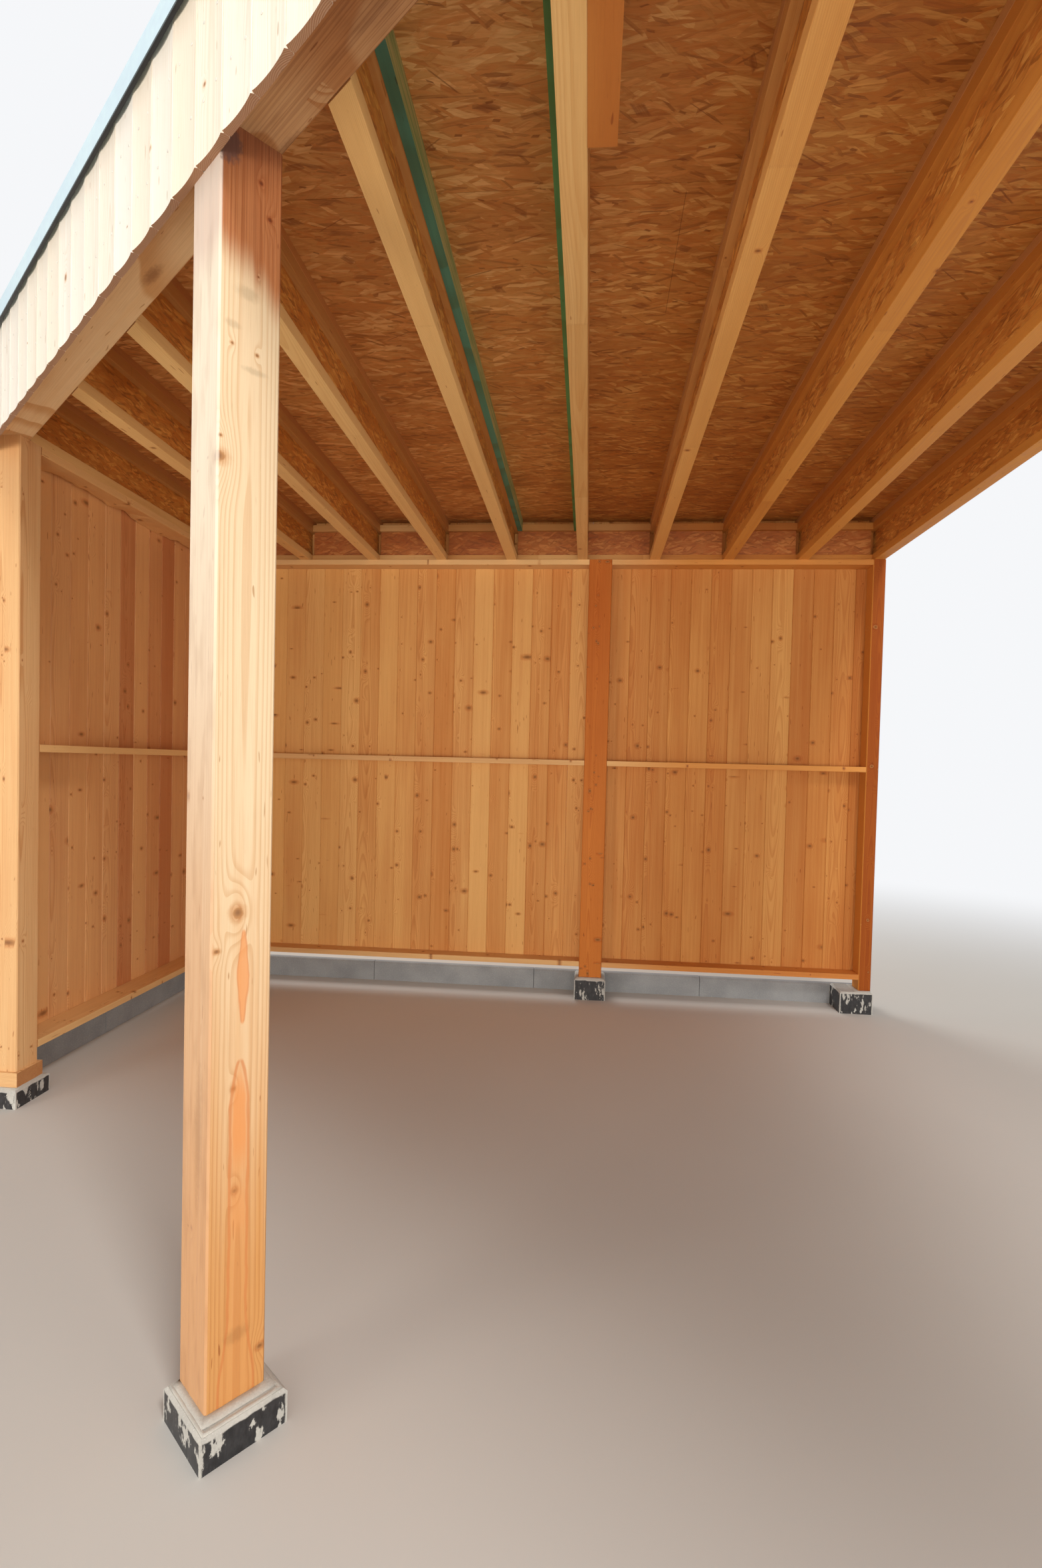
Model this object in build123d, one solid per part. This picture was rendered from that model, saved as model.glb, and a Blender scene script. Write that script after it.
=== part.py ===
"""Timber carport with a slanting front.

Posts stand on concrete piers. Flat rails between the posts carry upright
boards at the rear and on the left, and I-joists carry a flat boarded roof.
The front beam crosses the joists at an angle, so each joist has its own
length and a slanted end. All sizes are in millimetres, Z is up.

While it is laid out, X runs to the right from the inner face of the left
frame, Y runs back from the inner face of the rear frame, so the parking space
has negative Y, and Z is 0 at the ground. At the end the whole carport is moved
so that the origin is at the bottom centre of its box.
"""
import os
from math import ceil, cos, radians, sin, tan

from build123d import *

os.makedirs("parts", exist_ok=True)

# plan
clear_width = 3812          # left frame to the right edge of the roof
left_depth = 1647           # rear frame to the beam, along the left frame
beam_angle = 39             # how far the beam slants from the rear wall
left_frame = 128            # depth of the left frame
rear_frame = 102            # depth of the rear frame

# heights above the ground
joist_level = 2570          # underside of the joists
bottom_rail_level = 185
mid_rail_level = 1371
rear_pier_height = 120
front_pier_height = 70
kerb_height = 118

# posts and beam
post = 125                  # front posts, square
mid_post_width = 132
right_post_width = 68
corner_post_depth = 111
post_arris = 4              # chamfer on the posts and the beam
beam_width = 125
front_post_at = 1852        # along the beam from the left frame's inner face
mid_post_at = 2151          # along the rear wall from the left frame's inner face
corner_post_inset = 4       # left corner post behind the beam's outer face

# rails and boards
rail = 30                   # thickness of the rails, laid flat
board = 18                  # thickness of the upright boards
board_cover = 117
board_hollow = 4            # depth of the concave face of each board
board_joint = 6             # width of the V where two boards meet
board_joint_depth = 5
first_board = 90            # width of the first board of a wall
first_fascia_board = 80     # width of the first board at the right end of the fascia
fascia_drop = 66            # boards below the underside of the beam

# joists
first_joist = 415           # left edge of the second joist
last_joist_inset = 5        # last joist to the right edge of the roof
joist_count = 10
joist_depth = 220
flange_width = 58
flange_height = 39
web = 10
strip = 28                  # firring strip between joist and roof boards

# other timbers in the roof
batten_width = 27
batten_height = 70
batten_bay = 4              # the bay whose two sides carry a green batten
side_timber_width = 58
side_timber_length = 508    # from the beam, along the joist

# roof covering
deck = 18
membrane = 3
edge_batten_width = 45
edge_batten_height = 70
trim = 3
trim_face = 58
trim_gap = 12               # boards to the inside of the trim
trim_lip = 7                # drip fold at the lower edge of the trim

# piers, sole block and kerbs
pier_size = 180
pier_arris = 6
front_pier_shift = 18       # the front pier sits a little off its post
rear_pier_reach = 40        # rear piers beyond the back of the frame
sole_block = 60             # thickness of the block under the left corner post
sole_overhang = 12
kerb = 50
kerb_round = 12
kerb_overrun = 40           # left kerb beyond the left corner post

# derived places
slope = radians(beam_angle)
along = Vector(cos(slope), -sin(slope))
outward = Vector(-sin(slope), -cos(slope))
beam_start = Vector(0, -left_depth)
left_edge = -left_frame
rear_edge = rear_frame
right_edge = clear_width
deck_level = joist_level + joist_depth + strip
roof_level = deck_level + deck
edge_level = roof_level + edge_batten_height
mid_post_end = mid_post_at + mid_post_width
right_post_at = right_edge - right_post_width
last_joist = right_edge - last_joist_inset - flange_width
joist_pitch = (last_joist - first_joist) / (joist_count - 2)
joist_edges = [-flange_width] + [first_joist + i * joist_pitch for i in range(joist_count - 1)]


def front_y(x, out=0.0):
    """Y of the line that runs parallel to the beam's inner face at distance out."""
    return -left_depth - x * tan(slope) - out / cos(slope)


def on_beam(distance, out):
    """Point at a distance along the beam and out from its inner face."""
    return beam_start + along * distance + outward * out


def box(x0, x1, y0, y1, z0, z1):
    return Pos((x0 + x1) / 2, (y0 + y1) / 2, (z0 + z1) / 2) * Box(x1 - x0, y1 - y0, z1 - z0)


def prism(points, z0, z1):
    """Upright prism over a plan outline."""
    return Pos(0, 0, z0) * extrude(make_face(Polyline(*points, close=True)), z1 - z0)


def to_beam(x0, x1, y1, out=0.0):
    """Plan outline from y1 forward to the line at distance out, slanted there."""
    return [(x0, y1), (x0, front_y(x0, out)), (x1, front_y(x1, out)), (x1, y1)]


def along_beam(distance, length, out0, out1):
    """Plan outline of a block lined up with the beam."""
    corners = [(distance, out0), (distance + length, out0), (distance + length, out1), (distance, out1)]
    return [on_beam(*corner) for corner in corners]


def ease_upright(shape, size):
    """Chamfer the upright edges of a post."""
    return chamfer(shape.edges().filter_by(Axis.Z), size)


def ease_top(shape, size):
    """Chamfer the edges of the top face."""
    return chamfer(shape.faces().sort_by(Axis.Z)[-1].edges(), size)


def i_section():
    """Outline of an I-joist, centred left to right, standing on its lower flange."""
    w, h, t = flange_width / 2, flange_height, web / 2
    top = joist_depth
    half = [(w, 0), (w, h), (t, h), (t, top - h), (w, top - h), (w, top)]
    return make_face(Polyline(*half, *[(-x, z) for x, z in reversed(half)], close=True))


def joist_to_beam(x):
    """I-joist from the rear edge to the beam, its front end cut on the slant."""
    reach = rear_edge - front_y(x + flange_width)
    start = Plane(origin=(x + flange_width / 2, rear_edge, joist_level), x_dir=(1, 0, 0), z_dir=(0, -1, 0))
    bar = extrude(start * i_section(), reach)
    return bar & prism(to_beam(x, x + flange_width, rear_edge), joist_level, deck_level)


def joist_blocking(x0, x1):
    """Short I-joist across between two joists, at the rear edge."""
    start = Plane(origin=(x0, rear_edge - flange_width / 2, joist_level), x_dir=(0, 1, 0), z_dir=(1, 0, 0))
    return extrude(start * i_section(), x1 - x0)


def board_wall(length, height, first):
    """Tongued boards side by side, each with a hollow outer face and a V at each joint.

    X runs along the wall, Y outward from the inner face, and the first board
    has its own width so that the joints fall where they should.
    """
    count = ceil((length - first) / board_cover) + 1
    joints = [first + (i - 1) * board_cover for i in range(count + 1)]
    v = board_joint / 2
    outside = []
    for a, b in zip(joints, joints[1:]):
        crown = ((a + b) / 2, board - board_hollow)
        groove = Polyline((b - v, board), (b, board - board_joint_depth), (b + v, board))
        outside += [ThreePointArc((a + v, board), crown, (b - v, board)), *groove.edges()]
    end = joints[-1] + v
    inside = [(end, board), (end, 0)]
    for joint in reversed(joints[1:]):
        inside += [(joint + v, 0), (joint, v), (joint - v, 0)]
    inside += [(joints[0] + v, 0), (joints[0] + v, board)]
    tidy = [point for point, after in zip(inside, inside[1:]) if point != after] + inside[-1:]
    profile = make_face(outside + Polyline(*tidy).edges())
    return extrude(profile, height) & box(0, length, 0, board, 0, height)


def inset(distance):
    """Roof outline drawn in by a distance on every side."""
    x0, x1 = left_edge + distance, right_edge - distance
    return to_beam(x0, x1, rear_edge - distance, beam_width - distance)


def outset(distance):
    """Roof outline drawn out by a distance where there are boards, not at the right."""
    return to_beam(left_edge - distance, right_edge, rear_edge + distance, beam_width + distance)


parts = {}

# piers
pier_out = (beam_width - pier_size) / 2
pier_half = pier_size / 2
rear_pier_y = rear_edge + rear_pier_reach - pier_half
corner_post_front = front_y(left_edge, beam_width) + corner_post_inset
corner_post_back = corner_post_front + corner_post_depth
corner_post_y = (corner_post_front + corner_post_back) / 2
front_pier_at = front_post_at + post / 2 - pier_half + front_pier_shift
right_pier_at = (right_edge + pier_out * sin(slope)) / cos(slope) - pier_size
square_piers = {
    "rear_left_pier": (left_edge / 2, rear_pier_y, rear_pier_height),
    "rear_mid_pier": (mid_post_at + mid_post_width / 2, rear_pier_y, rear_pier_height),
    "rear_right_pier": (right_edge - pier_half, rear_pier_y, rear_pier_height),
    "left_front_pier": (left_edge / 2, corner_post_y, front_pier_height),
}
for name, (x, y, height) in square_piers.items():
    parts[name] = ease_top(box(x - pier_half, x + pier_half, y - pier_half, y + pier_half, 0, height),
                           pier_arris)
for name, at in {"front_pier": front_pier_at, "right_front_pier": right_pier_at}.items():
    block = prism(along_beam(at, pier_size, pier_out, pier_out + pier_size), 0, front_pier_height)
    parts[name] = ease_top(block, pier_arris)

# block under the left corner post
block_top = front_pier_height + sole_block
parts["sole_block"] = box(left_edge - sole_overhang, sole_overhang, corner_post_front - sole_overhang,
                          corner_post_back + sole_overhang, front_pier_height, block_top)

# posts
upright = {
    "rear_left_post": box(left_edge, 0, 0, rear_edge, rear_pier_height, joist_level),
    "rear_mid_post": box(mid_post_at, mid_post_end, 0, rear_edge, rear_pier_height, joist_level),
    "rear_right_post": box(right_post_at, right_edge, 0, rear_edge, rear_pier_height, joist_level),
    "left_corner_post": box(left_edge, 0, corner_post_front, corner_post_back, block_top, joist_level),
    "front_post": prism(along_beam(front_post_at, post, 0, post), front_pier_height, joist_level),
    "right_front_post": prism(along_beam(right_pier_at + pier_half - post / 2, post, 0, post),
                              front_pier_height, joist_level),
}
for name, shape in upright.items():
    parts[name] = ease_upright(shape, post_arris)

# rails laid flat between the posts, at three levels in each bay
rail_levels = {"bottom": bottom_rail_level, "middle": mid_rail_level, "top": joist_level - rail}
for name, z in rail_levels.items():
    rear_bays = [(0, mid_post_at), (mid_post_end, right_post_at)]
    parts[f"rear_{name}_rails"] = Compound([box(a, b, 0, rear_edge, z, z + rail) for a, b in rear_bays])
    parts[f"left_{name}_rail"] = box(left_edge, 0, corner_post_back, 0, z, z + rail)

# front beam, cut off in line with the left frame and the right edge
beam_ends = [(left_edge, front_y(left_edge)), (right_edge, front_y(right_edge))]
beam_outer = [(right_edge, front_y(right_edge, beam_width)), (left_edge, front_y(left_edge, beam_width))]
beam = prism(beam_ends + beam_outer, joist_level, deck_level)
lower_edges = beam.faces().sort_by(Axis.Z)[0].edges().sort_by(SortBy.LENGTH)[-2:]
parts["front_beam"] = chamfer(lower_edges, post_arris)

# joists, with a firring strip on each
for i, x in enumerate(joist_edges):
    parts[f"joist_{i}"] = joist_to_beam(x)
strip_outlines = [to_beam(x, x + flange_width, rear_edge) for x in joist_edges]
parts["firring_strips"] = Compound([prism(outline, deck_level - strip, deck_level)
                                    for outline in strip_outlines])

# blocking between the joists along the rear
bays = [(left + flange_width, right) for left, right in zip(joist_edges, joist_edges[1:])]
parts["rear_blocking"] = Compound([joist_blocking(left, right) for left, right in bays])

# green battens facing each other across one bay, tight under the roof boards
batten_back = rear_edge - flange_width
bay_left, bay_right = bays[batten_bay]
for name, x in {"left": bay_left, "right": bay_right - batten_width}.items():
    parts[f"green_batten_{name}"] = prism(to_beam(x, x + batten_width, batten_back),
                                          deck_level - batten_height, deck_level)

# short solid timber on the other side of the joist at the right of that bay
side_x = bay_right + flange_width
side_back = front_y(side_x) + side_timber_length
parts["side_timber"] = prism(to_beam(side_x, side_x + side_timber_width, side_back),
                             joist_level, joist_level + joist_depth)

# roof boards, battens round the edge, and membrane between them
parts["roof_deck"] = prism(inset(0), deck_level, roof_level)
inner_roof = inset(edge_batten_width)
parts["edge_battens"] = prism(inset(0), roof_level, edge_level) - prism(inner_roof, roof_level, edge_level)
parts["roof_membrane"] = prism(inner_roof, roof_level, roof_level + membrane)

# upright boards: rear wall, left wall, and the fascia on the beam
wall_height = edge_level - bottom_rail_level
fascia_level = joist_level - fascia_drop
rear_start = Plane(origin=(left_edge - board, rear_edge, bottom_rail_level), x_dir=(1, 0, 0), z_dir=(0, 0, 1))
parts["rear_boards"] = rear_start * board_wall(right_edge - left_edge + board, wall_height, first_board)
left_length = rear_edge - front_y(left_edge - board, beam_width)
left_start = Plane(origin=(left_edge, rear_edge - left_length, bottom_rail_level), x_dir=(0, 1, 0),
                   z_dir=(0, 0, 1))
left_outline = to_beam(left_edge - board, left_edge, rear_edge, beam_width)
left_wall = left_start * board_wall(left_length, wall_height, first_board)
parts["left_boards"] = left_wall & prism(left_outline, bottom_rail_level, edge_level)
fascia_end = Vector(right_edge, front_y(right_edge, beam_width)) + along * board
fascia_length = (right_edge - left_edge + 3 * board) / cos(slope)
fascia_start = Plane(origin=(fascia_end.X, fascia_end.Y, fascia_level), x_dir=tuple(-along), z_dir=(0, 0, 1))
fascia_outline = to_beam(left_edge - board, right_edge, rear_edge, beam_width + board)
fascia = fascia_start * board_wall(fascia_length, edge_level - fascia_level, first_fascia_board)
parts["front_fascia"] = fascia & prism(fascia_outline, fascia_level, edge_level)

# metal trim: a cap over the edge battens and boards, a face in front and a drip fold
trim_out = board + trim_gap + trim
trim_low = edge_level - trim_face


def trim_ring(inner, z0, z1):
    """Level ring of trim from an inner outline out to the trim's face."""
    return prism(outset(trim_out), z0, z1) - prism(inner, z0, z1)


cap = trim_ring(inner_roof, edge_level, edge_level + trim)
face = trim_ring(outset(trim_out - trim), trim_low, edge_level)
lip = trim_ring(outset(trim_out - trim - trim_lip), trim_low, trim_low + trim)
parts["roof_trim"] = cap + face + lip

# kerbs behind the piers
kerb_front = rear_pier_y + pier_half
kerb_right = left_edge / 2 - pier_half
kerb_left = kerb_right - kerb
left_kerb_end = corner_post_front - kerb_overrun
kerbs = {"rear_kerb": box(kerb_left, right_edge, kerb_front, kerb_front + kerb, 0, kerb_height),
         "left_kerb": box(kerb_left, kerb_right, left_kerb_end, kerb_front, 0, kerb_height)}
for name, shape in kerbs.items():
    top_edges = shape.faces().sort_by(Axis.Z)[-1].edges().sort_by(SortBy.LENGTH)[-2:]
    parts[name] = fillet(top_edges, kerb_round)

# move the origin to the bottom centre of the whole carport
boxes = [shape.bounding_box() for shape in parts.values()]
low = [min(b.min.X for b in boxes), min(b.min.Y for b in boxes), min(b.min.Z for b in boxes)]
high = [max(b.max.X for b in boxes), max(b.max.Y for b in boxes)]
shift = Pos(-(low[0] + high[0]) / 2, -(low[1] + high[1]) / 2, -low[2])
for name, shape in parts.items():
    moved = shift * shape
    moved.label = name
    export_step(moved, f"parts/{name}.step")
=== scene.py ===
from math import atan2, ceil, cos, pi, radians, sin, tan
from random import Random

import bmesh
import bpy
from mathutils import Matrix, Vector


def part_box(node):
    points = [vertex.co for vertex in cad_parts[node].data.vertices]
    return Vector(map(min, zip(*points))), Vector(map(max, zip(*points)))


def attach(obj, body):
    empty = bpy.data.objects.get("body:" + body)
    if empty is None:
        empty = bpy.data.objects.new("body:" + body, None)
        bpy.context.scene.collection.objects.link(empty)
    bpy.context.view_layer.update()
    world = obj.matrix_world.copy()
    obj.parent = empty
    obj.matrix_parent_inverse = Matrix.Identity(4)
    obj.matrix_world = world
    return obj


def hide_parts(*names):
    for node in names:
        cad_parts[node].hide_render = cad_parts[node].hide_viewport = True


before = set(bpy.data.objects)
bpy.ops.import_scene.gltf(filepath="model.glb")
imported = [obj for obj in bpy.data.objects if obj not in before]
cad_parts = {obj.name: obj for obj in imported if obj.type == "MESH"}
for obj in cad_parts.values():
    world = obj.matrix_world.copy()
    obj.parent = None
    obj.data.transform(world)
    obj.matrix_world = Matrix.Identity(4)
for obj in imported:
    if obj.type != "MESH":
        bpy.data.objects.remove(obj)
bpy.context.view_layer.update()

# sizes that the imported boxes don't give
slope = radians(39)          # slant of the front beam
mid_post_at = 2.151
beam_width = 0.125
post = 0.125
flange_width = 0.058
flange_height = 0.039
joist_depth = 0.220
web = 0.010
web_tongue = 0.006           # depth of a web's edge inside its flange
strip = 0.028
board = 0.018
board_cover = 0.117
board_hollow = 0.004
board_joint = 0.006
board_joint_depth = 0.005
first_board = 0.090
first_fascia_board = 0.080
first_joist = 0.415
joist_count = 10
sheet_width = 0.590          # roof boards, across
sheet_seam = -0.078          # one of their seams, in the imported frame
edge_batten_width = 0.045
felt_width, felt_lap, felt_thickness = 1.0, 0.08, 0.003
trim = 0.003
trim_gap = 0.012
trim_lip = 0.007
pier_half = 0.090
kerb_width, kerb_radius, kerb_unit = 0.050, 0.012, 1.0

# places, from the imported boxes
mid_post_low, mid_post_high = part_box("rear_mid_post")
origin = Vector((mid_post_low.x - mid_post_at, mid_post_low.y, 0))
rear_edge = mid_post_high.y - origin.y
right_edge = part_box("rear_right_post")[1].x - origin.x
left_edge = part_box("rear_left_post")[0].x - origin.x
left_depth = origin.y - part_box("joist_0")[0].y
joist_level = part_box("joist_0")[0].z
deck_level, roof_level = (corner.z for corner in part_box("roof_deck"))
edge_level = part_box("edge_battens")[1].z
trim_low, trim_top = (corner.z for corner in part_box("roof_trim"))
wall_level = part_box("rear_boards")[0].z
fascia_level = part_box("front_fascia")[0].z
last_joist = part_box(f"joist_{joist_count - 1}")[0].x - origin.x
joist_pitch = (last_joist - first_joist) / (joist_count - 2)
joist_edges = [-flange_width] + [first_joist + i * joist_pitch for i in range(joist_count - 1)]
joist_middles = [x + flange_width / 2 for x in joist_edges]
X, Y, Z = Vector((1, 0, 0)), Vector((0, 1, 0)), Vector((0, 0, 1))
along = Vector((cos(slope), -sin(slope), 0))
outward = Vector((-sin(slope), -cos(slope), 0))


def row(x, y, z=0.0):
    return origin + Vector((x, y, z))


def front_y(x, out=0.0):
    """Y of the line that runs parallel to the beam's inner face at distance out."""
    return -left_depth - x * tan(slope) - out / cos(slope)


def centre_of(node):
    low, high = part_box(node)
    return (low + high) / 2


def operator(operation, swapped=False):
    """A Math node as a method or an arithmetic sign of a field."""
    def method(self, *others):
        return self.graph.math(operation, *((*others, self) if swapped else (self, *others)))
    return method


class Field:
    """A value, vector or colour inside a node tree."""

    __add__, __radd__ = operator("ADD"), operator("ADD", True)
    __sub__, __rsub__ = operator("SUBTRACT"), operator("SUBTRACT", True)
    __mul__, __rmul__ = operator("MULTIPLY"), operator("MULTIPLY", True)
    __truediv__, __abs__ = operator("DIVIDE"), operator("ABSOLUTE")
    least, most = operator("MINIMUM"), operator("MAXIMUM")

    def __init__(self, graph, socket):
        self.graph = graph
        self.socket = socket

    def math(self, operation, *others):
        return self.graph.math(operation, self, *others)

    def vector(self, operation, other, key=0):
        return self.graph.make("VectorMath", {0: self, 1: other}, key, operation=operation)

    def dot(self, other):
        return self.vector("DOT_PRODUCT", other, "Value")

    def split(self):
        node = self.graph.put("SeparateXYZ", {0: self})
        return [self.graph.out(node, i) for i in range(3)]

    def ease(self, low, high, to_low=0.0, to_high=1.0):
        """Smooth step from low to high."""
        feeds = {"Value": self, "From Min": low, "From Max": high, "To Min": to_low, "To Max": to_high}
        return self.graph.make("MapRange", feeds, interpolation_type="SMOOTHSTEP")

    def between(self, a, b):
        """Colour a where this value is 0, turning into colour b where it is 1."""
        return self.graph.blend("MIX", self, a, b)

    def mix(self, other, share):
        """This colour with a share of another laid over it."""
        return self.graph.blend("MIX", share, self, other)

    def tint(self, other, share):
        """This colour, multiplied by another to a share."""
        return self.graph.blend("MULTIPLY", share, self, other)

    def noise(self, *scale, detail=2.0, roughness=0.5):
        """Soft noise from 0 to 1 over this vector, scaled by three numbers or by one."""
        place = self.vector("MULTIPLY", scale * 3 if len(scale) == 1 else scale) if scale else self
        feeds = {"Vector": place, "Scale": 1.0, "Detail": detail, "Roughness": roughness}
        return self.graph.make("TexNoise", feeds)

    def noise_line(self):
        """Soft noise from 0 to 1 along this value."""
        return self.graph.make("TexNoise", {"W": self, "Scale": 1.0, "Detail": 1.0}, noise_dimensions="1D")

    def draw(self):
        """A random value from 0 to 1 for each whole number."""
        return self.graph.make("TexWhiteNoise", {"W": self}, "Value", noise_dimensions="1D")


def reach_of(a, b):
    """Distance that the steps a and b cover together."""
    return (a * a + b * b).math("POWER", 0.5)


def join(x, y, z=0.0):
    return x.graph.make("CombineXYZ", {0: x, 1: y, 2: z})


def cells(u, v):
    """Random flat cells: three random values and the place of the cell's point."""
    graph = u.graph
    node = graph.put("TexVoronoi", {"Vector": join(u, v), "Scale": 1.0}, voronoi_dimensions="2D")
    colour = graph.put("SeparateColor", {0: graph.out(node, "Color")})
    return [graph.out(colour, i) for i in range(3)], graph.out(node, "Position").split()


class Graph:
    """Short way to build a node tree."""

    def __init__(self, tree):
        self.tree = tree

    def put(self, kind, feeds=(), **settings):
        """A new node, with what its inputs get."""
        node = self.tree.nodes.new("ShaderNode" + kind)
        for key, value in settings.items():
            setattr(node, key, value)
        for key, value in dict(feeds).items():
            self.feed(node.inputs[key], value)
        return node

    def feed(self, socket, value):
        if isinstance(value, Field):
            self.tree.links.new(value.socket, socket)
        else:
            socket.default_value = value

    def out(self, node, key=0):
        return Field(self, node.outputs[key])

    def make(self, kind, feeds=(), key=0, **settings):
        """One output of a new node."""
        return self.out(self.put(kind, feeds, **settings), key)

    def math(self, operation, *values):
        return self.make("Math", dict(enumerate(values)), operation=operation)

    def blend(self, how, share, a, b):
        node = self.put("Mix", data_type="RGBA", blend_type=how)
        for place, value in ((0, share), (6, a), (7, b)):
            self.feed(node.inputs[place], (*value, 1.0) if isinstance(value, tuple) else value)
        return self.out(node, 2)

    def place(self):
        return self.make("TexCoord", key="Object")

    def normal(self):
        return self.make("NewGeometry", key="Normal")

    def attribute(self, name, key="Fac"):
        return self.make("Attribute", key=key, attribute_name=name)


class Surface(Graph):
    """Node tree of a new material."""

    def __init__(self, name):
        self.material = bpy.data.materials.new(name)
        self.material.use_nodes = True
        super().__init__(self.material.node_tree)
        self.shader = self.tree.nodes["Principled BSDF"]

    def same_all_over(self, values):
        for key, value in values.items():
            self.shader.inputs[key].default_value = value

    def finish(self, colour, roughness, height, depth):
        """Feeds the shader and a bump of a depth, and gives the material."""
        self.feed(self.shader.inputs["Base Color"], colour)
        self.feed(self.shader.inputs["Roughness"], roughness)
        bump = self.make("Bump", {"Height": height, "Distance": depth, "Strength": 1.0})
        self.feed(self.shader.inputs["Normal"], bump)
        return self.material


class Group(Graph):
    """A node group that several materials use, with plain values going in and out."""

    def __init__(self, name, *inputs):
        super().__init__(bpy.data.node_groups.new(name, "ShaderNodeTree"))
        for key in inputs:
            self.tree.interface.new_socket(key, in_out="INPUT", socket_type="NodeSocketFloat")
        node = self.tree.nodes.new("NodeGroupInput")
        self.inputs = [self.out(node, key) for key in inputs]

    def give(self, **outputs):
        for key in outputs:
            self.tree.interface.new_socket(key, in_out="OUTPUT", socket_type="NodeSocketFloat")
        node = self.tree.nodes.new("NodeGroupOutput")
        for key, value in outputs.items():
            self.feed(node.inputs[key], value)


# timber
late_wood, resin_fleck, knot_rim = (0.72, 0.50, 0.30), (0.58, 0.40, 0.26), (0.78, 0.56, 0.40)
knot_core, knot_skin = (0.19, 0.066, 0.014), (0.44, 0.20, 0.062)
glue_line = (0.55, 0.42, 0.30)
knot_bulge, bulge_stretch = 0.22, 0.16       # how year rings bend round a knot, and less so along the trunk


def knots_at(angle, radius, z, share, size, seed, spots):
    """Nearness to the nearest knot, in knot radii, and how far knots push the year rings."""
    around, lengthwise = 2.6, 4.6
    (size_draw, share_draw, _), (centre_angle, centre_z, _) = cells(angle * around, z * lengthwise)
    arc = (angle - centre_angle / around) * radius
    run = z - centre_z / lengthwise
    own_share = (z * 2.3 + seed * 31.0).noise_line().ease(0.38, 0.62, 0.25, 1.75)
    there = share_draw.math("LESS_THAN", own_share * share)
    own_size = (size_draw * size_draw * 1.3 + 0.35) * size
    reach = reach_of(arc, run) / own_size + (1.0 - there) * 20.0
    push = ((arc * arc + run * run * bulge_stretch) / (own_size * own_size) * -knot_bulge).math("EXPONENT")
    push = push * there * own_size
    for spot_angle, spot_z, spot_size in spots:
        arc = (angle - spot_angle) * radius
        run = z - spot_z
        reach = reach.least(reach_of(arc, run) / spot_size)
        bulge = (arc * arc + run * run * bulge_stretch) * (-knot_bulge / spot_size ** 2)
        push = push + bulge.math("EXPONENT") * spot_size
    return reach, push


def sawn(place, tone, hue, end, palette, ring=0.003, knots=0.5, knot_size=0.008, contrast=0.5,
         sway=0.035, early=0.35, fingers=0.0, cut=(0.64, 0.47, 0.35), spots=()):
    """Colour, roughness and height of sawn timber. place is in metres from the pith: x and y across the
    trunk, z along it. Year rings lie round the pith and bend round the knots, which grow straight out from
    it. end is 1 on faces across the grain. fingers is the length between finger joints."""
    x, y, z = place.split()
    if fingers:
        run = (z + x.math("PINGPONG", 0.002) * 4.0) / fingers
        piece = run.math("FLOOR")
        draw = piece.draw()
        tone = tone + (draw - 0.5) * 0.3
        z = z + piece * 5.0
        x = x + (draw - 0.5) * 0.03
        glue = abs(run - piece).ease(0.0014 / fingers, 0.0004 / fingers)
    x = x + ((z * 0.9).noise_line() - 0.5) * sway
    y = y + ((z * 0.7 + 40.0).noise_line() - 0.5) * sway
    radius, angle = reach_of(x, y), x.math("ARCTAN2", y)
    reach, push = knots_at(angle, radius, z, knots, knot_size, hue, spots)
    wobbly = reach + (place.noise(90) - 0.5) * 0.7
    knot, rim = wobbly.ease(1.1, 0.75), wobbly.ease(2.1, 0.95)

    wander = place.noise(7, 7, 0.8) + (radius * 34).noise_line() * 1.4
    phase = ((radius + push * 1.7) / ring + wander).math("FRACT")
    late = phase.ease(early, 0.88) - phase.ease(0.94, 1.0)
    streak = place.noise(70, 70, 1.2, detail=3.0)
    fibre = place.noise(520, 520, 11, detail=1.0)
    cloud = place.noise(6, 6, 1.1)
    fleck = place.noise(150, 150, 20, detail=0.0).ease(0.81, 0.86)

    shade = tone + (cloud - 0.5) * 0.6 + (streak - 0.5) * 0.5
    colour = shade.ease(0.0, 1.0).between(*palette)
    colour = colour.tint((1.0, 0.90, 0.76), hue * 0.5)
    colour = colour.tint(late_wood, late * contrast + end * late * 0.5)
    colour = colour.tint((0.80, 0.72, 0.62), fibre.ease(0.45, 0.8) * 0.3)
    colour = colour.tint(resin_fleck, fleck * 0.8)
    colour = colour.tint(knot_rim, rim * 0.7)
    colour = colour.mix(reach.ease(0.1, 0.95).between(knot_core, knot_skin), knot * 0.8)
    colour = colour.tint(cut, end * 0.9)
    if fingers:
        colour = colour.tint(glue_line, glue * 0.7)
    rough = (fibre + late * 0.4).ease(0.2, 1.4, 0.72, 0.5)
    height = late * 0.35 + fibre * 0.35 + knot * 0.5 + streak * 0.3
    return colour, rough, height


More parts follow.
